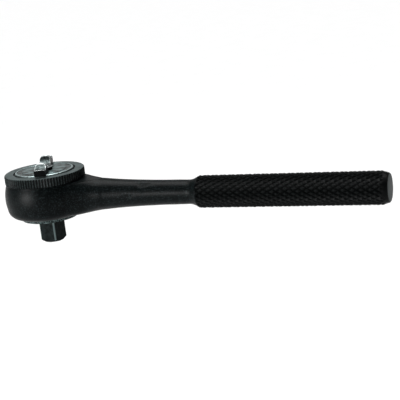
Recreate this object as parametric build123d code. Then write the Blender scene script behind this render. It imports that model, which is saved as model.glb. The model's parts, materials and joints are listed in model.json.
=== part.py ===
from build123d import *
import math
import os

# A quarter-inch-drive round-head ratchet wrench, in millimetres.
# The origin is the centre of the square drive's end face, +Z runs up the drive axis to the shift lever,
# and +X runs along the handle.

# ---- driving dimensions ----
OVERALL_LENGTH = 130.0
SQUARE_ACROSS_FLATS = 6.3
SQUARE_TURNED_RADIUS = 4.25
SQUARE_END_RADIUS = 3.2
SQUARE_END_CHAMFER = 0.75

HEAD_RADIUS = 14.15
HEAD_BOTTOM = 9.35
HEAD_TOP = 21.0
HEAD_TOP_RADIUS = 13.2
HANDLE_AXIS_HEIGHT = 15.7

TOOTH_COUNT = 36
TOOTH_TIP_RADIUS = 9.3
TOOTH_ROOT_RADIUS = 10.0
BORE_FLOOR = 11.2
TEETH_BOTTOM = 11.9
TEETH_TOP = 20.0
SPIGOT_BORE_RADIUS = 10.5
JOURNAL_RADIUS = 6.5
RUNNING_GAP = 0.05

CORE_TURN = -10.0
CORE_RADIUS = 9.1
CORE_DECK = 11.7
CORE_TOP = 22.6
CHAMBER_BOTTOM = 13.2
CHAMBER_TOP = 19.4
JOURNAL_END = 7.95

RING_RADIUS = 13.4
RING_BOTTOM = 21.1
RING_TOP = 24.1
RING_KNURL_TEETH = 88
RING_KNURL_DEPTH = 0.28
RING_MOUTH_RADIUS = 10.4
RING_CHAMFER = 0.25

PLATE_RADIUS = 9.85
PLATE_TOP = 24.45
PLATE_FLANGE_TOP = 23.15
SNAP_GROOVE_RADIUS = 11.0

LEVER_SWING = 62.0
LEVER_HALF_LENGTH = 11.6
LEVER_WIDTH = 3.7
LEVER_TOP = 28.0
LEVER_BOTTOM = 24.55
LEVER_CORNER = 1.4
LEVER_SOCKET = 2.4

PAWL_PIN_RADIUS = 1.0
PAWL_PIN_POLAR = (6.9, 50.0)
PAWL_SWING = 12.0
CAM_RADIUS = 2.9
CAM_THROW = 0.9
CAM_GAP = 0.21
CAM_CONTACT_ANGLE = LEVER_SWING / 2

GRIP_START = 54.6
GRIP_RADIUS = 5.2
GRIP_END = OVERALL_LENGTH - HEAD_RADIUS
GRIP_END_RADIUS = 4.6
NECK_END = 50.0
FLARE_END = 21.5
FLARE_STEP = 0.03

DETENT_BALL_RADIUS = 0.75
DETENT_CIRCLE_RADIUS = 4.82
DETENT_BALL_HEIGHT = 21.0
DETENT_BORE_FLOOR = 16.1
PAWL_SPRING_PLACE = (-1.6, 15.3)
DRIVE_BALL_RADIUS = 1.1
DRIVE_BALL_HEIGHT = 3.7
DRIVE_BALL_PROUD = 0.45


# ---- small helpers ----
def polar(radius, degrees):
    return (radius * math.cos(math.radians(degrees)), radius * math.sin(math.radians(degrees)))


def rod(radius, bottom, top, x=0.0, y=0.0):
    """An upright cylinder between two heights."""
    return Pos(x, y, bottom) * Cylinder(radius, top - bottom, align=(Align.CENTER, Align.CENTER, Align.MIN))


def tube(outer, inner, bottom, top):
    return rod(outer, bottom, top) - rod(inner, bottom - 1, top + 1)


def prism(points, bottom, top):
    """A polygon in plan, drawn up between two heights."""
    return Pos(0, 0, bottom) * extrude(make_face(Polyline(*points, close=True)), top - bottom)


def turned(points):
    """A solid of revolution about Z from (radius, height) points."""
    outline = Polyline(*[(radius, 0, height) for radius, height in points], close=True)
    return revolve(make_face(outline), Axis.Z)


def zigzag(count, outer, inner):
    """A star outline whose valleys at the inner radius lie half a pitch from its points."""
    half_pitch = 180.0 / count
    return [polar(outer if k % 2 == 0 else inner, k * half_pitch) for k in range(2 * count)]


def coil(start, direction, length, mean_radius, wire_radius, turns):
    """A compression spring wound from start along direction."""
    wound = length - 2 * wire_radius
    path = Helix(pitch=wound / turns, height=wound, radius=mean_radius)
    section = Plane(origin=path @ 0, z_dir=path % 0) * Circle(wire_radius)
    spring = sweep(section, path=path)
    seat = Vector(*start) + Vector(*direction).normalized() * wire_radius
    return Plane(origin=seat, z_dir=direction) * spring


def ball(radius, x, y, z):
    return Pos(x, y, z) * Sphere(radius)


def mirrored_y(shape):
    return mirror(shape, about=Plane.XZ)


def placed(shape):
    """Turns a piece of the core group to the position in which the core rests."""
    return Rot(0, 0, CORE_TURN) * shape


def save(shape, name):
    export_step(shape, f"parts/{name}.step")


# ---- handle: head, neck and grip forged in one ----
def neck_radius(x):
    """Radius of the round neck, which tapers away from the head."""
    return 3.8 + 1.42 * math.exp((FLARE_END - x) / 13.0)


def flare_section(x):
    """The section at x where the neck grows wider and squarer into the head."""
    radius = neck_radius(x) - FLARE_STEP
    half_height = radius - 0.5 * math.log(1 + math.exp((12.5 - x) / 1.5))
    half_width = radius + 0.78 * math.log(1 + math.exp((14.5 - x) / 1.5))
    power = 2 + 1.7 / (1 + math.exp((x - 14.5) / 1.6))
    points = []
    for step in range(16):
        angle = 2 * math.pi * step / 16
        across = math.copysign(abs(math.cos(angle)) ** (2 / power), math.cos(angle))
        upward = math.copysign(abs(math.sin(angle)) ** (2 / power), math.sin(angle))
        points.append((x, half_width * across, HANDLE_AXIS_HEIGHT + half_height * upward))
    return make_face(Spline(*points, periodic=True))


def flare():
    return loft([flare_section(x) for x in (8, 10, 12, 14.5, 17.5, FLARE_END + 1)])


def grip_and_neck():
    """The round bar: neck, shoulder, plain grip under the knurling, and chamfered end."""
    neck_side = [(x, 0, neck_radius(x)) for x in (FLARE_END, 26, 32, 38, 44, NECK_END)]
    shoulder_side = [(52.4, 0, 4.06), (53.6, 0, 4.5), (GRIP_START, 0, 5.05)]
    outline = [
        (GRIP_START, 0, 5.05),
        (GRIP_START + 0.5, 0, GRIP_RADIUS),
        (GRIP_END - 2.4, 0, GRIP_RADIUS),
        (GRIP_END - 0.5, 0, GRIP_END_RADIUS),
        (GRIP_END, 0, GRIP_END_RADIUS - 0.55),
        (GRIP_END, 0, 0),
        (FLARE_END, 0, 0),
        (FLARE_END, 0, neck_radius(FLARE_END)),
    ]
    profile = make_face(Spline(*neck_side, *shoulder_side) + Polyline(*outline))
    return Pos(0, 0, HANDLE_AXIS_HEIGHT) * revolve(profile, Axis.X)


def head_blank():
    """The barrel-shaped head before boring."""
    rim = (HEAD_TOP_RADIUS, 0, HEAD_TOP)
    shoulder = (HEAD_RADIUS - 0.33, 0, 12.7)
    foot = (10.5, 0, HEAD_BOTTOM)
    side = Spline(rim, (HEAD_RADIUS - 0.19, 0, 18.1), (HEAD_RADIUS, 0, 15.5), shoulder)
    under = ThreePointArc(shoulder, (HEAD_RADIUS - 1.4, 0, 10.3), foot)
    rest = Polyline(foot, (0, 0, HEAD_BOTTOM), (0, 0, HEAD_TOP), rim)
    return revolve(make_face(side + under + rest), Axis.Z)


def handle_forging():
    body = head_blank() + flare() + grip_and_neck()
    body -= Pos(15, 0, HEAD_TOP + 5) * Box(70, 40, 10)
    body -= rod(JOURNAL_RADIUS + RUNNING_GAP, HEAD_BOTTOM - 2, HEAD_TOP)
    body -= rod(TOOTH_ROOT_RADIUS, BORE_FLOOR, TEETH_BOTTOM)
    body -= prism(zigzag(TOOTH_COUNT, TOOTH_ROOT_RADIUS, TOOTH_TIP_RADIUS), TEETH_BOTTOM, TEETH_TOP)
    body -= rod(SPIGOT_BORE_RADIUS, TEETH_TOP, HEAD_TOP + 1)
    return body


def friction_washer():
    return tube(8.8, 6.8, BORE_FLOOR, CORE_DECK - RUNNING_GAP)


# ---- core with the square drive ----
def pawl_pocket():
    """Room for the left pawl, from the hub wall out through the core's side."""
    wall = 4.15
    corners = [(-4.9, wall), (1.6, wall), (1.6, 0.6), (6.0, 0.6), (6.0, 3.4), (6.6, 4.6), (6.6, 7.0)]
    corners += [(4.0, 10.5), (-4.9, 10.5)]
    return prism(corners, CHAMBER_BOTTOM, CHAMBER_TOP)


def square_drive():
    """The male square: flats cut on a turned bar with a chamfered end."""
    root = JOURNAL_END + 0.2
    flats = Pos(0, 0, root / 2) * Box(SQUARE_ACROSS_FLATS, SQUARE_ACROSS_FLATS, root)
    bar = turned([(0, 0), (SQUARE_END_RADIUS, 0), (SQUARE_TURNED_RADIUS, SQUARE_END_CHAMFER),
                  (SQUARE_TURNED_RADIUS, root), (0, root)])
    return flats & bar


def pin_centres():
    x, y = polar(*PAWL_PIN_POLAR)
    return [(x, y), (x, -y)]


def dowel_centres():
    return [polar(CORE_RADIUS, angle) for angle in (0, 120, 240)]


def drive_core():
    core = rod(CORE_RADIUS, CORE_DECK, CORE_TOP)
    core += rod(JOURNAL_RADIUS, JOURNAL_END, CORE_DECK)
    core += square_drive()
    snap_groove = tube(JOURNAL_RADIUS + 1, 5.9, 8.25, 8.7)
    cam_room = rod(3.9, 17.5, CORE_TOP + 1)
    flange_room = rod(5.7, 21.35, CORE_TOP + 1)
    pilot_bore = rod(1.55, 13.9, 17.6)
    detent_bore = rod(0.8, DETENT_BORE_FLOOR, 22.0, x=-DETENT_CIRCLE_RADIUS)
    for room in (snap_groove, cam_room, flange_room, pilot_bore, detent_bore):
        core -= room
    core -= pawl_pocket()
    core -= mirrored_y(pawl_pocket())
    for x, y in pin_centres():
        core -= rod(PAWL_PIN_RADIUS + 0.02, 12.3, CORE_TOP + 1, x, y)
    for x, y in dowel_centres():
        core -= rod(0.62, 20.6, CORE_TOP + 1, x, y)
    spring_x, spring_height = PAWL_SPRING_PLACE
    for side in (1, -1):
        core -= Pos(spring_x, side * 3.9, spring_height) * Rot(90, 0, 0) * Cylinder(1.0, 4.0)
    bore_depth = 4.95
    core -= Pos(0, 3.2 - bore_depth / 2, DRIVE_BALL_HEIGHT) * Rot(90, 0, 0) * Cylinder(1.14, bore_depth)
    return core


def pawl_left_engaged():
    """The left pawl with its teeth home in the gear."""
    x, y = polar(*PAWL_PIN_POLAR)
    nose = [polar(8.6, 56), polar(9.0, 70), polar(9.05, 84)]
    nose += [polar(9.87 if k % 2 else 9.2, 85 + 5 * k) for k in range(7)]
    nose += [polar(9.05, 116), polar(6.6, 116), polar(6.2, 100), polar(5.5, 75), polar(5.1, 55)]
    pawl = prism(nose, CHAMBER_BOTTOM + 0.1, CHAMBER_TOP - 0.1)
    pawl += rod(1.9, CHAMBER_BOTTOM + 0.1, CHAMBER_TOP - 0.1, x, y)
    pawl += pawl_tail()
    return pawl - rod(PAWL_PIN_RADIUS + 0.06, CHAMBER_BOTTOM, CHAMBER_TOP, x, y)


def pawl_tail():
    """The follower arm, whose flat face meets the cam when the pawl is drawn in."""
    cam_face = CAM_RADIUS + CAM_THROW + CAM_GAP
    pin_x, pin_y = polar(*PAWL_PIN_POLAR)
    centre = Vector(*polar(cam_face, CAM_CONTACT_ANGLE), 0)
    along = Vector(*polar(1, CAM_CONTACT_ANGLE + 90), 0)
    low = centre - along * 1.0
    high = centre + along * 0.9
    corners = [(low.X, low.Y), (high.X, high.Y)]
    corners += [(pin_x - 1.6, pin_y - 0.4), (pin_x + 1.2, pin_y - 1.2), (4.9, 1.6)]
    tail = prism(corners, CHAMBER_BOTTOM + 0.1, CHAMBER_TOP - 0.1)
    return Pos(pin_x, pin_y, 0) * Rot(0, 0, -PAWL_SWING) * Pos(-pin_x, -pin_y, 0) * tail


def pawl_left():
    """The left pawl as it rests: drawn in by the cam."""
    x, y = polar(*PAWL_PIN_POLAR)
    return Pos(x, y, 0) * Rot(0, 0, PAWL_SWING) * Pos(-x, -y, 0) * pawl_left_engaged()


def pawl_right():
    return mirrored_y(pawl_left_engaged())


def pawl_pins():
    return Compound([rod(PAWL_PIN_RADIUS, 12.4, CORE_TOP - 0.1, x, y) for x, y in pin_centres()])


def ring_dowels():
    return Compound([rod(0.6, 20.7, CORE_TOP - 0.1, x, y) for x, y in dowel_centres()])


# ---- speed ring, cover and their retaining rings ----
def speed_ring():
    spigot_bottom, groove_top, bore = 20.1, 23.7, CORE_RADIUS + 0.02
    edge, mouth = RING_RADIUS - RING_CHAMFER, RING_MOUTH_RADIUS
    blank = turned([
        (bore, spigot_bottom), (mouth, spigot_bottom), (mouth, RING_BOTTOM), (edge, RING_BOTTOM),
        (RING_RADIUS, RING_BOTTOM + RING_CHAMFER), (RING_RADIUS, RING_TOP - RING_CHAMFER),
        (edge, RING_TOP), (mouth, RING_TOP), (mouth, groove_top), (SNAP_GROOVE_RADIUS, groove_top),
        (SNAP_GROOVE_RADIUS, PLATE_FLANGE_TOP), (mouth, PLATE_FLANGE_TOP), (mouth, CORE_TOP), (bore, CORE_TOP),
    ])
    knurl = zigzag(RING_KNURL_TEETH, RING_RADIUS, RING_RADIUS - RING_KNURL_DEPTH)
    ring = blank & prism(knurl, spigot_bottom - 0.1, RING_TOP + 1)
    for x, y in dowel_centres():
        ring -= rod(0.62, 20.6, CORE_TOP + 1, x, y)
    return ring


def snap_ring(outer, inner, bottom, top, gap_degrees):
    """A C-shaped retaining ring, open by the given angle at its rear."""
    ring = tube(outer, inner, bottom, top)
    reach = 3 * outer
    corners = [(0, 0), polar(reach, 180 - gap_degrees / 2), polar(reach, 180 + gap_degrees / 2)]
    return ring - prism(corners, bottom - 1, top + 1)


def direction_arrow(start, end):
    """A curved arrow engraved round the cover plate, from one angle to another."""
    depth, radius, half_width = 0.15, 8.35, 0.3
    step = (end - start) / 8
    outer = [polar(radius + half_width, start + k * step) for k in range(9)]
    inner = [polar(radius - half_width, end - k * step) for k in range(9)]
    head = [polar(radius + 0.95, end), polar(radius, end + math.copysign(9, step)), polar(radius - 0.95, end)]
    return prism(outer + head + inner, PLATE_TOP - depth, PLATE_TOP + 1)


def cover_plate():
    bore, flange, band = 2.0, RING_MOUTH_RADIUS - RUNNING_GAP, PLATE_TOP - 0.12
    plate = turned([
        (bore, CORE_TOP), (flange, CORE_TOP), (flange, PLATE_FLANGE_TOP), (PLATE_RADIUS, PLATE_FLANGE_TOP),
        (PLATE_RADIUS, PLATE_TOP - 0.35), (PLATE_RADIUS - 0.12, PLATE_TOP - 0.1), (PLATE_RADIUS - 0.35, PLATE_TOP),
        (9.2, PLATE_TOP), (9.05, band), (7.45, band), (7.3, PLATE_TOP), (bore, PLATE_TOP),
    ])
    plate -= direction_arrow(18, 58)
    plate -= direction_arrow(162, 122)
    for k in range(7):
        tick = Pos(8.35, 0, PLATE_TOP - 0.2) * Box(1.0, 0.35, 0.4)
        plate -= Rot(0, 0, 198 + k * 24) * tick
    return plate


# ---- shift lever and its cam ----
def lever_direction():
    """Turns a lever drawn along Y to where it rests in the core's frame."""
    return Rot(0, 0, LEVER_SWING / 2)


def lever_side(sign):
    """Half of the lever's side outline, from the saddle out to the thumb end."""
    saddle, valley_end, crest_in, crest_out = 25.5, 2.2, 5.7, 6.7
    tip, tip_top = sign * LEVER_HALF_LENGTH, 26.7
    return [
        Line((0, 0, saddle), (0, sign * valley_end, saddle)),
        ThreePointArc((0, sign * valley_end, saddle), (0, sign * 4.4, 26.1), (0, sign * crest_in, LEVER_TOP)),
        Line((0, sign * crest_in, LEVER_TOP), (0, sign * crest_out, LEVER_TOP)),
        ThreePointArc((0, sign * crest_out, LEVER_TOP), (0, sign * 8.5, 26.65), (0, tip, tip_top)),
        Line((0, tip, tip_top), (0, tip, LEVER_BOTTOM)),
    ]


def lever_section():
    """The bar's section: straight sides under a flat top with rounded corners."""
    half, shoulder, flat = LEVER_WIDTH / 2, LEVER_TOP - LEVER_CORNER, LEVER_WIDTH / 2 - LEVER_CORNER
    swell_x, swell_z = (value + LEVER_CORNER * math.sqrt(0.5) for value in (flat, shoulder))
    right = ThreePointArc((half, 0, shoulder), (swell_x, 0, swell_z), (flat, 0, LEVER_TOP))
    top = Line((flat, 0, LEVER_TOP), (-flat, 0, LEVER_TOP))
    left = ThreePointArc((-flat, 0, LEVER_TOP), (-swell_x, 0, swell_z), (-half, 0, shoulder))
    foot = [(-half, 0, LEVER_BOTTOM), (half, 0, LEVER_BOTTOM)]
    sides = Polyline((-half, 0, shoulder), *foot, (half, 0, shoulder))
    return make_face(right + top + left + sides)


def shift_lever():
    """A two-humped thumb lever: an arched bar with four scoops, on a round hub."""
    base = Line((0, LEVER_HALF_LENGTH, LEVER_BOTTOM), (0, -LEVER_HALF_LENGTH, LEVER_BOTTOM))
    outline = make_face(Curve() + lever_side(1) + lever_side(-1) + base)
    side_view = Pos(-LEVER_WIDTH, 0, 0) * extrude(outline, 2 * LEVER_WIDTH, dir=(1, 0, 0))
    reach = LEVER_HALF_LENGTH + 1
    end_view = Pos(0, -reach, 0) * extrude(lever_section(), 2 * reach, dir=(0, 1, 0))
    lever = side_view & end_view
    lever += rod(2.9, LEVER_BOTTOM, 25.5)
    lever -= Pos(0, 0, 25) * Box(LEVER_SOCKET, LEVER_SOCKET, 4)
    return lever_direction() * lever


def detent_track():
    """The arc that the detent ball rides in under the cam flange, with a pocket at each end."""
    section = Plane.XZ * Pos(-DETENT_CIRCLE_RADIUS, DETENT_BALL_HEIGHT) * Circle(DETENT_BALL_RADIUS)
    track = revolve(section, Axis.Z, LEVER_SWING)
    for angle in (180, 180 + LEVER_SWING):
        x, y = polar(DETENT_CIRCLE_RADIUS, angle)
        track += ball(DETENT_BALL_RADIUS + 0.05, x, y, DETENT_BALL_HEIGHT)
    return track


def shift_cam():
    """The lever's spindle: pilot, eccentric, detent flange, stem and square stub."""
    cam_x, cam_y = polar(CAM_THROW, CAM_CONTACT_ANGLE)
    flange_bottom, flange_top = 21.4, 22.5
    pilot = rod(1.5, 14.0, 17.6)
    eccentric = rod(CAM_RADIUS, 17.55, 19.3, cam_x, cam_y)
    neck = rod(2.2, 19.3, flange_bottom)
    flange = rod(5.6, flange_bottom, flange_top)
    stem = rod(1.9, flange_top, LEVER_BOTTOM)
    stub = lever_direction() * Pos(0, 0, 25.0) * Box(LEVER_SOCKET, LEVER_SOCKET, 0.9)
    return pilot + eccentric + neck + flange + stem + stub - detent_track()


# ---- washers, balls and springs ----
def retaining_washer():
    underside, snap_ring_seat = 8.2, 8.75
    washer = tube(9.45, JOURNAL_RADIUS + 0.03, underside, HEAD_BOTTOM - RUNNING_GAP)
    return washer - rod(7.3, underside - 1, snap_ring_seat)


def springs():
    """Every spring's name with its start, direction, length, mean radius, wire radius and turns."""
    pawl_x, pawl_height = PAWL_SPRING_PLACE
    return {
        "pawl_spring_left": ((pawl_x, 1.9, pawl_height), (0, 1, 0), 2.6, 0.68, 0.2, 4),
        "pawl_spring_right": ((pawl_x, -1.9, pawl_height), (0, -1, 0), 4.05, 0.68, 0.2, 5),
        "lever_detent_spring": ((-DETENT_CIRCLE_RADIUS, 0, DETENT_BORE_FLOOR), (0, 0, 1), 4.1, 0.5, 0.12, 7),
        "drive_ball_spring": ((0, -1.75, DRIVE_BALL_HEIGHT), (0, 1, 0), 3.1, 0.75, 0.15, 6),
    }


def drive_ball_centre():
    return SQUARE_ACROSS_FLATS / 2 + DRIVE_BALL_PROUD - DRIVE_BALL_RADIUS


def main():
    os.makedirs("parts", exist_ok=True)
    save(handle_forging(), "handle_forging")
    save(friction_washer(), "friction_washer")
    save(placed(drive_core()), "drive_core")
    save(placed(speed_ring()), "speed_ring")
    save(placed(ring_dowels()), "ring_dowels")
    save(placed(cover_plate()), "cover_plate")
    cover_ring = snap_ring(outer=10.95, inner=9.95, bottom=23.2, top=23.65, gap_degrees=30)
    save(placed(cover_ring), "cover_snap_ring")
    core_ring = snap_ring(outer=7.2, inner=5.95, bottom=8.27, top=8.68, gap_degrees=70)
    save(placed(core_ring), "core_snap_ring")
    save(placed(retaining_washer()), "retaining_washer")
    save(placed(pawl_left()), "pawl_left")
    save(placed(pawl_right()), "pawl_right")
    save(placed(pawl_pins()), "pawl_pins")
    save(placed(shift_lever()), "shift_lever")
    save(placed(shift_cam()), "shift_cam")
    save(placed(ball(DETENT_BALL_RADIUS, -DETENT_CIRCLE_RADIUS, 0, DETENT_BALL_HEIGHT)), "lever_detent_ball")
    save(placed(ball(DRIVE_BALL_RADIUS, 0, drive_ball_centre(), DRIVE_BALL_HEIGHT)), "drive_ball")
    for name, winding in springs().items():
        save(placed(coil(*winding)), name)


main()
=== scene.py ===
import json
import math

import bmesh
import bpy
from mathutils import Matrix, Vector


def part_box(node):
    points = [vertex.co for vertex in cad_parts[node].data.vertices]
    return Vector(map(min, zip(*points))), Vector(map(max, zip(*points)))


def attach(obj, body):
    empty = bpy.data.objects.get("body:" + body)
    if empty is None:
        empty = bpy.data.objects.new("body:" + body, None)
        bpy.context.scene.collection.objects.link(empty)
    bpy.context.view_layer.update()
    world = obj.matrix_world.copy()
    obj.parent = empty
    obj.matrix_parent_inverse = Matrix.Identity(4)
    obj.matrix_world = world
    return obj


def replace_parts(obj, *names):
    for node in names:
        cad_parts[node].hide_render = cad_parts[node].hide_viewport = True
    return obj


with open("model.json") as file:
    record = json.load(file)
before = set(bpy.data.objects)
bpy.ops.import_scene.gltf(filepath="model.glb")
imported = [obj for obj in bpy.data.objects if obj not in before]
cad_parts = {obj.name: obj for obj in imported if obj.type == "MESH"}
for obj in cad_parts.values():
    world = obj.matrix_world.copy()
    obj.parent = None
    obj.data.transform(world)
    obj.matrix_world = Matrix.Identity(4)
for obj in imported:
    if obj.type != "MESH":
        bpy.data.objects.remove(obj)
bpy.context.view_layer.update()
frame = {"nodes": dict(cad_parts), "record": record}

# Sizes in metres. The frame's origin is the centre of the square drive's end face, +Z runs up the drive axis
# to the shift lever, and +X runs along the handle.
MM = 0.001
HANDLE_AXIS_HEIGHT = 15.7 * MM
BORE_RADIUS = 10.6 * MM

GRIP_START = 54.95 * MM
GRIP_KNURL_END = 113.5 * MM
GRIP_CREST_RADIUS = 5.24 * MM
GRIP_ROOT_RADIUS = 4.84 * MM
GRIP_END_RADIUS = 4.6 * MM
GRIP_END_ROUND = 0.5 * MM
GRIP_FACE_INSET = 0.55 * MM
KNURL_LEAD = 0.02 * MM
KNURL_STARTS = 20
KNURL_AXIAL_PITCH = 2.79 * MM
KNURL_STEPS = 8
KNURL_FLAT = 0.78

FORGING_VOXEL = 0.2 * MM
FORGING_ROUNDS = 5
FACING_STOCK = 0.8 * MM
RING_RADIUS = 13.4 * MM
RIDGE_WEAR_START = 13.2 * MM
SQUARE_CORNER_RADIUS = 4.25 * MM
CORNER_WEAR_START = 4.1 * MM
CORNER_WEAR_END = 4.45 * MM
COLLAR_RADIUS = 9.45 * MM
COLLAR_GLINT_START = 9.2 * MM
PLATE_RIM_HIGHLIGHT_START = 9.1 * MM
PLATE_RIM_HIGHLIGHT_FULL = 9.25 * MM
PLATE_MARKS_FLOOR = 24.33 * MM
PLATE_MARKS_EDGE = 24.43 * MM
LEVER_CREST = 28.0 * MM
CREST_WEAR_AND_HIGHLIGHT_DEPTH = 0.45 * MM
CREST_WEAR_AND_HIGHLIGHT_FULL = 0.1 * MM
LEVER_VOXEL = 0.07 * MM
LEVER_ROUNDS = 4


# ---- node helpers ----
class Look:
    """A procedural material and short calls that add nodes to it."""

    def __init__(self, name):
        self.material = bpy.data.materials.new(name)
        self.material.use_nodes = True
        self.nodes = self.material.node_tree.nodes
        self.links = self.material.node_tree.links
        self.shader = self.nodes["Principled BSDF"]
        self.place = self.nodes.new("ShaderNodeTexCoord").outputs["Object"]

    def link(self, source, target):
        if isinstance(source, (int, float)):
            target.default_value = source
        elif isinstance(source, tuple):
            target.default_value = (*source, 1.0)
        else:
            self.links.new(source, target)

    def noise(self, size, detail=3.0, rough=0.55, place=None):
        """Noise whose features are about size metres across."""
        node = self.nodes.new("ShaderNodeTexNoise")
        node.inputs["Scale"].default_value = 1.0 / size
        node.inputs["Detail"].default_value = detail
        node.inputs["Roughness"].default_value = rough
        self.links.new(place or self.place, node.inputs["Vector"])
        return node.outputs["Fac"]

    def math(self, operation, a, b=0.0, clamp=False):
        node = self.nodes.new("ShaderNodeMath")
        node.operation = operation
        node.use_clamp = clamp
        self.link(a, node.inputs[0])
        self.link(b, node.inputs[1])
        return node.outputs[0]

    def span(self, value, low, high, to_low=0.0, to_high=1.0):
        """Maps low..high to to_low..to_high, held at both ends."""
        node = self.nodes.new("ShaderNodeMapRange")
        self.link(value, node.inputs["Value"])
        node.inputs["From Min"].default_value = low
        node.inputs["From Max"].default_value = high
        node.inputs["To Min"].default_value = to_low
        node.inputs["To Max"].default_value = to_high
        return node.outputs["Result"]

    def mix(self, share, a, b):
        node = self.nodes.new("ShaderNodeMix")
        node.data_type = "RGBA"
        self.link(share, node.inputs["Factor"])
        self.link(a, node.inputs[6])
        self.link(b, node.inputs[7])
        return node.outputs[2]

    def stretched(self, x, y, z):
        """The object's own coordinates, scaled along each axis."""
        node = self.nodes.new("ShaderNodeMapping")
        node.inputs["Scale"].default_value = (x, y, z)
        self.links.new(self.place, node.inputs["Vector"])
        return node.outputs["Vector"]

    def parts(self):
        node = self.nodes.new("ShaderNodeSeparateXYZ")
        self.links.new(self.place, node.inputs["Vector"])
        return node.outputs

    def joined(self, x, y, z):
        node = self.nodes.new("ShaderNodeCombineXYZ")
        self.link(x, node.inputs[0])
        self.link(y, node.inputs[1])
        self.link(z, node.inputs[2])
        return node.outputs[0]

    def normal_parts(self):
        """The way the surface faces, as X, Y and Z."""
        geometry = self.nodes.new("ShaderNodeNewGeometry")
        node = self.nodes.new("ShaderNodeSeparateXYZ")
        self.links.new(geometry.outputs["Normal"], node.inputs["Vector"])
        return node.outputs

    def drive_radius(self):
        """Distance from the drive axis."""
        x, y, _ = self.parts()
        squares = self.math("ADD", self.math("MULTIPLY", x, x), self.math("MULTIPLY", y, y))
        return self.math("SQRT", squares)

    def handle_radius(self):
        """Distance from the handle's axis."""
        _, y, z = self.parts()
        up = self.math("SUBTRACT", z, HANDLE_AXIS_HEIGHT)
        squares = self.math("ADD", self.math("MULTIPLY", y, y), self.math("MULTIPLY", up, up))
        return self.math("SQRT", squares)

    def bump(self, height, distance, strength=1.0, after=None):
        node = self.nodes.new("ShaderNodeBump")
        node.inputs["Distance"].default_value = distance
        node.inputs["Strength"].default_value = strength
        self.link(height, node.inputs["Height"])
        if after is not None:
            self.links.new(after, node.inputs["Normal"])
        return node.outputs["Normal"]

    def surface(self, colour, roughness, normal=None, metallic=0.0, specular=0.5):
        self.link(colour, self.shader.inputs["Base Color"])
        self.link(roughness, self.shader.inputs["Roughness"])
        if metallic is not None:
            self.shader.inputs["Metallic"].default_value = metallic
        self.shader.inputs["Specular IOR Level"].default_value = specular
        if normal is not None:
            self.links.new(normal, self.shader.inputs["Normal"])
        return self.material


# ---- materials ----
def black_oxide_forging():
    """Satin black oxide with fine pale specks over a shot-blasted forging."""
    look = Look("black_oxide_forging")
    grain = look.noise(0.45 * MM, 4.0, 0.75)
    cloud = look.noise(3.5 * MM, 3.0, 0.5)
    speck = look.span(look.math("ADD", grain, look.math("MULTIPLY", cloud, 0.1)), 0.57, 0.7)
    colour = look.mix(speck, (0.0015, 0.0023, 0.0024), (0.014, 0.02, 0.021))
    roughness = look.span(grain, 0.3, 0.7, 0.27, 0.46)
    dents = look.bump(cloud, 0.05 * MM, 0.35)
    return look.surface(colour, roughness, look.bump(grain, 0.05 * MM, 1.0, dents), 0.0, 0.05)


def black_oxide_grip():
    """Black oxide on diamond knurling: soot-dark roots, crests rubbed slightly grey."""
    look = Look("black_oxide_grip")
    grain = look.noise(0.25 * MM, 3.0, 0.6)
    patch = look.noise(5.0 * MM, 2.0)
    crest = look.span(look.handle_radius(), GRIP_ROOT_RADIUS, GRIP_CREST_RADIUS)
    worn = look.math("MULTIPLY", look.math("POWER", crest, 3.0), look.span(patch, 0.3, 0.7, 0.4, 1.0))
    knurled = look.mix(worn, (0.0007, 0.001, 0.001), (0.0045, 0.006, 0.006))
    facing = look.normal_parts()[0]
    end_tone = look.mix(look.span(grain, 0.3, 0.7), (0.02, 0.026, 0.026), (0.055, 0.068, 0.068))
    colour = look.mix(look.span(facing, 0.8, 0.95), knurled, end_tone)
    roughness = look.span(grain, 0.3, 0.7, 0.36, 0.56)
    return look.surface(colour, roughness, look.bump(grain, 0.015 * MM, 0.4), 0.0, 0.055)


def black_oxide_ring():
    """Turned and knurled black ring: a grey top with fine lathe lines, its grey a painted sheen on the upward
    faces, and ridges rubbed at their tips.
    """
    look = Look("black_oxide_ring")
    grain = look.noise(0.3 * MM, 3.0, 0.6)
    patch = look.noise(4.0 * MM, 3.0)
    radius = look.drive_radius()
    lathe = look.noise(0.12 * MM, 2.0, 0.5, look.joined(radius, 0.0, 0.0))
    # Painted sheen: faces turning upward get a lighter grey, varied in patches by this noise, in place of the
    # light they reflect.
    rubbed = look.span(look.math("ADD", grain, look.math("MULTIPLY", patch, 0.5)), 0.5, 1.0)
    flat = look.span(look.normal_parts()[2], 0.5, 0.9)
    painted_top_sheen = look.mix(rubbed, (0.016, 0.022, 0.022), (0.13, 0.165, 0.165))
    proud = look.span(radius, RIDGE_WEAR_START, RING_RADIUS)
    ridge = look.math("MULTIPLY", proud, look.span(grain, 0.4, 0.6))
    side = look.mix(ridge, (0.0008, 0.0012, 0.0013), (0.035, 0.048, 0.048))
    roughness = look.span(grain, 0.3, 0.7, 0.34, 0.52)
    lines = look.bump(lathe, 0.01 * MM, 0.35)
    normal = look.bump(grain, 0.012 * MM, 0.4, lines)
    # Upward faces take the painted sheen; sideways faces keep the oxide black with worn ridge tips.
    return look.surface(look.mix(flat, side, painted_top_sheen), roughness, normal, 0.0, 0.07)


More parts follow.
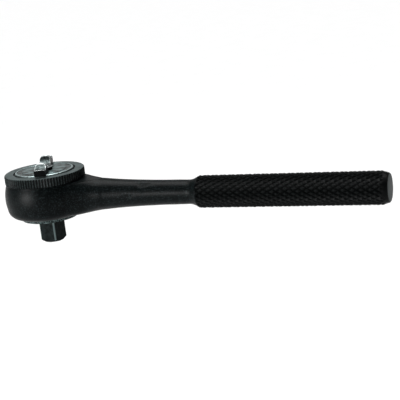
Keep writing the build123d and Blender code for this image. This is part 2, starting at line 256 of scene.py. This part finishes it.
def black_oxide_core():
    """Mottled black oxide, rubbed grey at the square's corners, with a painted highlight on the collar's rim.
    """
    look = Look("black_oxide_core")
    grain = look.noise(0.4 * MM, 4.0, 0.65)
    mottle = look.noise(1.6 * MM, 4.0, 0.7)
    oxide = look.mix(look.span(mottle, 0.35, 0.7), (0.002, 0.003, 0.003), (0.012, 0.0165, 0.0165))
    radius = look.drive_radius()
    inside = look.span(radius, CORNER_WEAR_START, SQUARE_CORNER_RADIUS)
    outside = look.span(radius, SQUARE_CORNER_RADIUS, CORNER_WEAR_END, 1.0, 0.0)
    corner = look.math("MULTIPLY", inside, outside)
    # Painted highlight: the collar's rim is lightened as a glint, speckled by the grain.
    at_rim = look.span(radius, COLLAR_GLINT_START, COLLAR_RADIUS)
    rim = look.math("MULTIPLY", at_rim, look.span(grain, 0.45, 0.6))
    # Real wear at the square's corners, combined with the painted highlight on the collar's rim.
    worn = look.math("MAXIMUM", corner, rim)
    colour = look.mix(worn, oxide, (0.1, 0.135, 0.135))
    roughness = look.span(mottle, 0.3, 0.7, 0.34, 0.55)
    milled = look.noise(0.1 * MM, 2.0, 0.5, look.stretched(0.25, 0.25, 1.0))
    normal = look.bump(milled, 0.012 * MM, 0.4, look.bump(grain, 0.02 * MM, 0.4))
    return look.surface(colour, roughness, normal, 0.0, 0.02)


def cover_steel():
    """Satin plated cover: circular brushing, dark patches, a painted highlight along the rim and darker
    engraved marks.
    """
    look = Look("cover_steel")
    radius = look.drive_radius()
    brushing = look.noise(0.09 * MM, 3.0, 0.6, look.joined(radius, 0.0, 0.0))
    cloud = look.noise(2.4 * MM, 4.0, 0.7)
    mottled = look.mix(look.span(cloud, 0.43, 0.57), (0.01, 0.017, 0.017), (0.22, 0.3, 0.3))
    # Painted highlight: a pale band along the plate's rim.
    rim = look.span(radius, PLATE_RIM_HIGHLIGHT_START, PLATE_RIM_HIGHLIGHT_FULL)
    tone = look.mix(rim, mottled, (0.42, 0.52, 0.52))
    _, _, height = look.parts()
    sunk = look.span(height, PLATE_MARKS_FLOOR, PLATE_MARKS_EDGE, 0.45, 1.0)
    colour = look.mix(sunk, (0.07, 0.078, 0.078), tone)
    roughness = look.span(cloud, 0.3, 0.7, 0.27, 0.43)
    return look.surface(colour, roughness, look.bump(brushing, 0.006 * MM, 0.5), 1.0)


def bright_lever():
    """Satin thumb lever: a grey top, sides and ends painted near-black as shade, and edges rubbed bright that
    also carry a painted highlight.
    """
    look = Look("bright_lever")
    cloud = look.noise(0.8 * MM, 4.0, 0.65)
    scratch = look.noise(0.16 * MM, 2.0, 0.5, look.stretched(1.0, 0.2, 1.0))
    geometry = look.nodes.new("ShaderNodeNewGeometry")
    # Upward-facing mask: the top keeps its grey satin, and the sides and ends are painted near-black as
    # shade.
    top = look.span(look.math("ADD", look.normal_parts()[2], look.math("MULTIPLY", cloud, 0.2)), 0.25, 0.5)
    _, _, height = look.parts()
    # Crest band and sharp edges on the upward faces, lightened as wear and as a painted highlight.
    crest = look.span(height, LEVER_CREST - CREST_WEAR_AND_HIGHLIGHT_DEPTH, LEVER_CREST - CREST_WEAR_AND_HIGHLIGHT_FULL)
    corner = look.span(geometry.outputs["Pointiness"], 0.503, 0.53)
    edge = look.math("MULTIPLY", look.math("MAXIMUM", crest, corner), top)
    satin = look.mix(look.span(cloud, 0.35, 0.65), (0.012, 0.016, 0.016), (0.085, 0.105, 0.105))
    # Painted shade on the sides and ends; the top is grey satin with bright edges.
    colour = look.mix(top, (0.001, 0.0015, 0.0016), look.mix(edge, satin, (0.8, 0.86, 0.86)))
    roughness = look.span(edge, 0.0, 1.0, 0.42, 0.26)
    metal = look.math("MULTIPLY", top, look.span(edge, 0.0, 1.0, 0.9, 0.4))
    look.links.new(metal, look.shader.inputs["Metallic"])
    return look.surface(colour, roughness, look.bump(scratch, 0.004 * MM, 0.4), None, 0.06)


def bare_steel(name, dark, light, low_roughness, high_roughness):
    """Plain machined steel with faint tool marks."""
    look = Look(name)
    cloud = look.noise(0.8 * MM, 3.0, 0.6)
    marks = look.noise(0.12 * MM, 2.0, 0.5, look.stretched(1.0, 1.0, 0.2))
    colour = look.mix(look.span(cloud, 0.3, 0.7), dark, light)
    roughness = look.span(cloud, 0.3, 0.7, low_roughness, high_roughness)
    return look.surface(colour, roughness, look.bump(marks, 0.004 * MM, 0.4), 1.0)


def dress_nodes(looks):
    """Gives each CAD node the material of its slot."""
    slots = {entry["node"]: entry["material_slot"] for entry in frame["record"]["subparts"]}
    for name, node in frame["nodes"].items():
        node.data.materials.clear()
        node.data.materials.append(looks[slots[name]])


# ---- mesh helpers ----
def add_object(name, mesh, look, body):
    piece = bpy.data.objects.new(name, mesh)
    bpy.context.scene.collection.objects.link(piece)
    mesh.materials.clear()
    mesh.materials.append(look)
    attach(piece, body)
    return piece


def baked(mesh, modifiers):
    """The mesh with each (type, settings) modifier applied in turn."""
    holder = bpy.data.objects.new("holder", mesh)
    bpy.context.scene.collection.objects.link(holder)
    for kind, settings in modifiers:
        modifier = holder.modifiers.new(kind.lower(), kind)
        for key, value in settings.items():
            setattr(modifier, key, value)
    graph = bpy.context.evaluated_depsgraph_get()
    result = bpy.data.meshes.new_from_object(holder.evaluated_get(graph))
    bpy.data.objects.remove(holder)
    return result


def welded_copy(node):
    """A CAD node's mesh with its faces joined at their shared edges."""
    shape = bmesh.new()
    shape.from_mesh(frame["nodes"][node].data)
    bmesh.ops.remove_doubles(shape, verts=shape.verts, dist=1e-7)
    return shape


def finished(shape, name, angle=None):
    """A mesh from a bmesh, smooth shaded, with edges sharper than angle kept crisp."""
    mesh = bpy.data.meshes.new(name)
    shape.to_mesh(mesh)
    shape.free()
    shade(mesh, angle)
    return mesh


def shade(mesh, angle):
    mesh.polygons.foreach_set("use_smooth", [True] * len(mesh.polygons))
    if angle is not None:
        mesh.set_sharp_from_angle(angle=math.radians(angle))


# ---- forged head and neck ----
def forging_skin(look):
    """Head and neck: the CAD form with a forging's softened edges. The knurled grip is a piece of its own."""
    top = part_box("handle_forging")[1].z
    shape = welded_copy("handle_forging")
    bmesh.ops.edgeloop_fill(shape, edges=cut_off(shape, (GRIP_START, 0, 0), (1, 0, 0)))
    raise_face(shape, top, FACING_STOCK)
    mesh = finished(shape, "forging_stock")
    mesh = baked(mesh, [("REMESH", {"mode": "VOXEL", "voxel_size": FORGING_VOXEL})])
    outside = [v.index for v in mesh.vertices if math.hypot(v.co.x, v.co.y) > BORE_RADIUS]
    mesh = smoothed(mesh, outside, FORGING_ROUNDS)
    shade(mesh, 38)
    return add_object("forging_skin", faced(mesh, top), look, "handle")


def cut_off(shape, point, direction):
    """Removes what lies beyond the plane and returns the edges of the cut."""
    everything = shape.verts[:] + shape.edges[:] + shape.faces[:]
    cut = bmesh.ops.bisect_plane(shape, geom=everything, plane_co=point, plane_no=direction, clear_outer=True)
    return [item for item in cut["geom_cut"] if isinstance(item, bmesh.types.BMEdge)]


def raise_face(shape, height, stock):
    """Adds stock above the flat face at that height, to be cut off again once the edges are softened."""
    level = [f for f in shape.faces if f.normal.z > 0.999]
    face = [f for f in level if abs(f.calc_center_median().z - height) < 0.01 * MM]
    grown = bmesh.ops.extrude_face_region(shape, geom=face)
    points = [item for item in grown["geom"] if isinstance(item, bmesh.types.BMVert)]
    bmesh.ops.translate(shape, verts=points, vec=(0, 0, stock))
    bmesh.ops.delete(shape, geom=[f for f in face if f.is_valid], context="FACES")


def faced(mesh, height):
    """Cuts the mesh flat at that height and closes it, so a machined face keeps crisp edges."""
    shape = bmesh.new()
    shape.from_mesh(mesh)
    rim = cut_off(shape, (0, 0, height), (0, 0, 1))
    for edge in rim:
        edge.smooth = False
    bmesh.ops.triangle_fill(shape, edges=rim, use_beauty=True)
    bmesh.ops.recalc_face_normals(shape, faces=shape.faces)
    shape.to_mesh(mesh)
    shape.free()
    return mesh


def smoothed(mesh, indices, rounds):
    """Evens out the listed points and leaves the others where they are."""
    shape = bmesh.new()
    shape.from_mesh(mesh)
    shape.verts.ensure_lookup_table()
    chosen = [shape.verts[i] for i in indices]
    every_axis = {"use_axis_x": True, "use_axis_y": True, "use_axis_z": True}
    for _ in range(rounds):
        bmesh.ops.smooth_vert(shape, verts=chosen, factor=0.5, **every_axis)
    shape.to_mesh(mesh)
    shape.free()
    return mesh


def lever_skin(look):
    """The thumb lever with its moulded edges rounded, so that they catch the light."""
    mesh = finished(welded_copy("shift_lever"), "lever_stock")
    mesh = baked(mesh, [("REMESH", {"mode": "VOXEL", "voxel_size": LEVER_VOXEL})])
    mesh = smoothed(mesh, range(len(mesh.vertices)), LEVER_ROUNDS)
    shade(mesh, None)
    return add_object("lever_skin", mesh, look, "lever")


# ---- knurled grip ----
def knurl_height(around, along):
    """0 at the bottom of a groove to 1 on a diamond's flat crest. Both counts are in groove pitches."""
    first = abs((around + along + 0.5) % 1.0 - 0.5)
    second = abs((around - along + 0.5) % 1.0 - 0.5)
    return min(2 * min(first, second) / KNURL_FLAT, 1.0)


def grip_rings():
    """(x, radius, knurl depth) for each ring of points from the shoulder to the end face."""
    step = KNURL_AXIAL_PITCH / KNURL_STEPS
    count = int(round((GRIP_KNURL_END - GRIP_START) / step))
    full = GRIP_CREST_RADIUS - GRIP_ROOT_RADIUS
    rings = [(GRIP_START, GRIP_ROOT_RADIUS, 0.0)]
    for k in range(count + 1):
        x = GRIP_START + KNURL_LEAD + k * step
        fade = min(1.0, (k + 1) / 2)
        rings.append((x, GRIP_CREST_RADIUS, full * fade))
    end = handle_end()
    chamfer_start, chamfer_end = rings[-1][0], end - GRIP_END_ROUND
    for share in (0.25, 0.5, 0.75, 1.0):
        x = chamfer_start + (chamfer_end - chamfer_start) * share
        radius = GRIP_CREST_RADIUS + (GRIP_END_RADIUS - GRIP_CREST_RADIUS) * share
        rings.append((x, radius, full * max(0.0, 0.9 - 1.1 * share)))
    for angle in map(math.radians, (30, 60, 90)):
        x = end - GRIP_END_ROUND * (1 - math.sin(angle))
        radius = GRIP_END_RADIUS - GRIP_FACE_INSET * (1 - math.cos(angle))
        rings.append((x, radius, 0.0))
    return rings


def handle_end():
    """The handle's far end."""
    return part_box("handle_forging")[1].x


def grip_knurl(look):
    """The grip as a closed mesh whose diamonds are real facets, cut by two sets of helical grooves."""
    shape = bmesh.new()
    around = KNURL_STARTS * KNURL_STEPS
    rows = []
    for x, radius, depth in grip_rings():
        pitches = (x - GRIP_START - KNURL_LEAD) / KNURL_AXIAL_PITCH
        row = []
        for i in range(around):
            angle = 2 * math.pi * i / around
            r = radius - depth * (1 - knurl_height(i / KNURL_STEPS, pitches))
            place = (x, r * math.sin(angle), HANDLE_AXIS_HEIGHT + r * math.cos(angle))
            row.append(shape.verts.new(place))
        rows.append(row)
    for j in range(len(rows) - 1):
        for i in range(around):
            a, b = rows[j][i], rows[j][(i + 1) % around]
            c, d = rows[j + 1][(i + 1) % around], rows[j + 1][i]
            if (i + j) % 2:
                shape.faces.new((a, b, c))
                shape.faces.new((a, c, d))
            else:
                shape.faces.new((a, b, d))
                shape.faces.new((b, c, d))
    shape.faces.new(rows[0])
    shape.faces.new(list(reversed(rows[-1])))
    bmesh.ops.recalc_face_normals(shape, faces=shape.faces)
    mesh = finished(shape, "grip_knurl", 24)
    return add_object("grip_knurl", mesh, look, "handle")


# ---- stage, lights and camera ----
MIDDLE = (0.03, 0.0, 0.015)
CAMERA_TARGET = Vector((0.05441, 0.0, 0.01289))
CAMERA_DISTANCE = 0.36171
CAMERA_AZIMUTH = 21.5
CAMERA_ELEVATION = 14.11
CAMERA_ROLL = -6.53
CAMERA_LENS = 101.84


def add_camera():
    """Looks at the tool from its front right, a little above it."""
    az, el, roll = (math.radians(a) for a in (CAMERA_AZIMUTH, CAMERA_ELEVATION, CAMERA_ROLL))
    back = Vector((math.sin(az) * math.cos(el), -math.cos(az) * math.cos(el), math.sin(el)))
    level = Vector((math.cos(az), math.sin(az), 0))
    upright = back.cross(level)
    right = math.cos(roll) * level + math.sin(roll) * upright
    up = -math.sin(roll) * level + math.cos(roll) * upright
    data = bpy.data.cameras.new("camera")
    data.lens = CAMERA_LENS
    data.sensor_width = 36
    data.clip_start = 0.01
    data.clip_end = 20
    camera = bpy.data.objects.new("camera", data)
    bpy.context.scene.collection.objects.link(camera)
    turn = Matrix((right, up, back)).transposed().to_4x4()
    camera.matrix_world = Matrix.Translation(CAMERA_TARGET + back * CAMERA_DISTANCE) @ turn
    bpy.context.scene.camera = camera


def add_floor():
    """A pale floor, low enough that the tool's shadow stays out of view and wide enough to hide its edge."""
    drop, half = -0.25, 20.0
    mesh = bpy.data.meshes.new("floor")
    corners = [(-half, -half, drop), (half, -half, drop), (half, half, drop), (-half, half, drop)]
    mesh.from_pydata(corners, [], [(0, 1, 2, 3)])
    floor = bpy.data.objects.new("floor", mesh)
    bpy.context.scene.collection.objects.link(floor)
    look = Look("pale_floor")
    tone = look.mix(look.noise(0.05, 2.0), (0.86, 0.86, 0.86), (0.9, 0.9, 0.9))
    mesh.materials.append(look.surface(tone, 0.7, None, 0.0, 0.2))


def add_area_light(name, place, aim, size, power):
    data = bpy.data.lights.new(name, "AREA")
    data.shape = "DISK"
    data.size = size
    data.energy = power
    light = bpy.data.objects.new(name, data)
    bpy.context.scene.collection.objects.link(light)
    place, aim = Vector(place), Vector(aim)
    turn = (place - aim).to_track_quat("Z", "Y").to_matrix().to_4x4()
    light.matrix_world = Matrix.Translation(place) @ turn


def add_sun(name, azimuth, elevation, strength, spread):
    """A distant soft light from that direction. Its spread is its width in degrees."""
    data = bpy.data.lights.new(name, "SUN")
    data.energy = strength
    data.angle = math.radians(spread)
    light = bpy.data.objects.new(name, data)
    bpy.context.scene.collection.objects.link(light)
    light.matrix_world = pointing(azimuth, elevation).to_track_quat("Z", "Y").to_matrix().to_4x4()


def pointing(azimuth, elevation):
    """The unit vector in that direction, with azimuth counted from +X."""
    az, el = math.radians(azimuth), math.radians(elevation)
    return Vector((math.cos(az) * math.cos(el), math.sin(az) * math.cos(el), math.sin(el)))


def around(azimuth, elevation, distance):
    """A point seen from the tool's middle in that direction."""
    return tuple(Vector(MIDDLE) + distance * pointing(azimuth, elevation))


def add_lights():
    add_sun("key_front_left", -122, 1.5, 5.4, 14)
    add_sun("overhead", 130, 74, 3.45, 45)
    add_area_light("back_wall", around(120, 18, 1.6), MIDDLE, 1.0, 1.1)
    world = bpy.data.worlds.new("studio")
    world.use_nodes = True
    background = world.node_tree.nodes["Background"]
    background.inputs["Color"].default_value = (1, 1, 1, 1)
    background.inputs["Strength"].default_value = 0.06
    bpy.context.scene.world = world
    bpy.context.scene.view_settings.view_transform = "Standard"


def main():
    looks = {
        "black_oxide_forging": black_oxide_forging(),
        "black_oxide_grip": black_oxide_grip(),
        "black_oxide_ring": black_oxide_ring(),
        "black_oxide_core": black_oxide_core(),
        "cover_steel": cover_steel(),
        "bright_lever": bright_lever(),
        "spring_steel": bare_steel("spring_steel", (0.012, 0.013, 0.014), (0.035, 0.037, 0.038), 0.4, 0.55),
        "hard_steel": bare_steel("hard_steel", (0.3, 0.31, 0.32), (0.5, 0.51, 0.52), 0.22, 0.36),
    }
    dress_nodes(looks)
    skin = forging_skin(looks["black_oxide_forging"])
    grip = grip_knurl(looks["black_oxide_grip"])
    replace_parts(skin, "handle_forging")
    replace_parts(grip, "handle_forging")
    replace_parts(lever_skin(looks["bright_lever"]), "shift_lever")
    add_camera()
    add_floor()
    add_lights()


main()
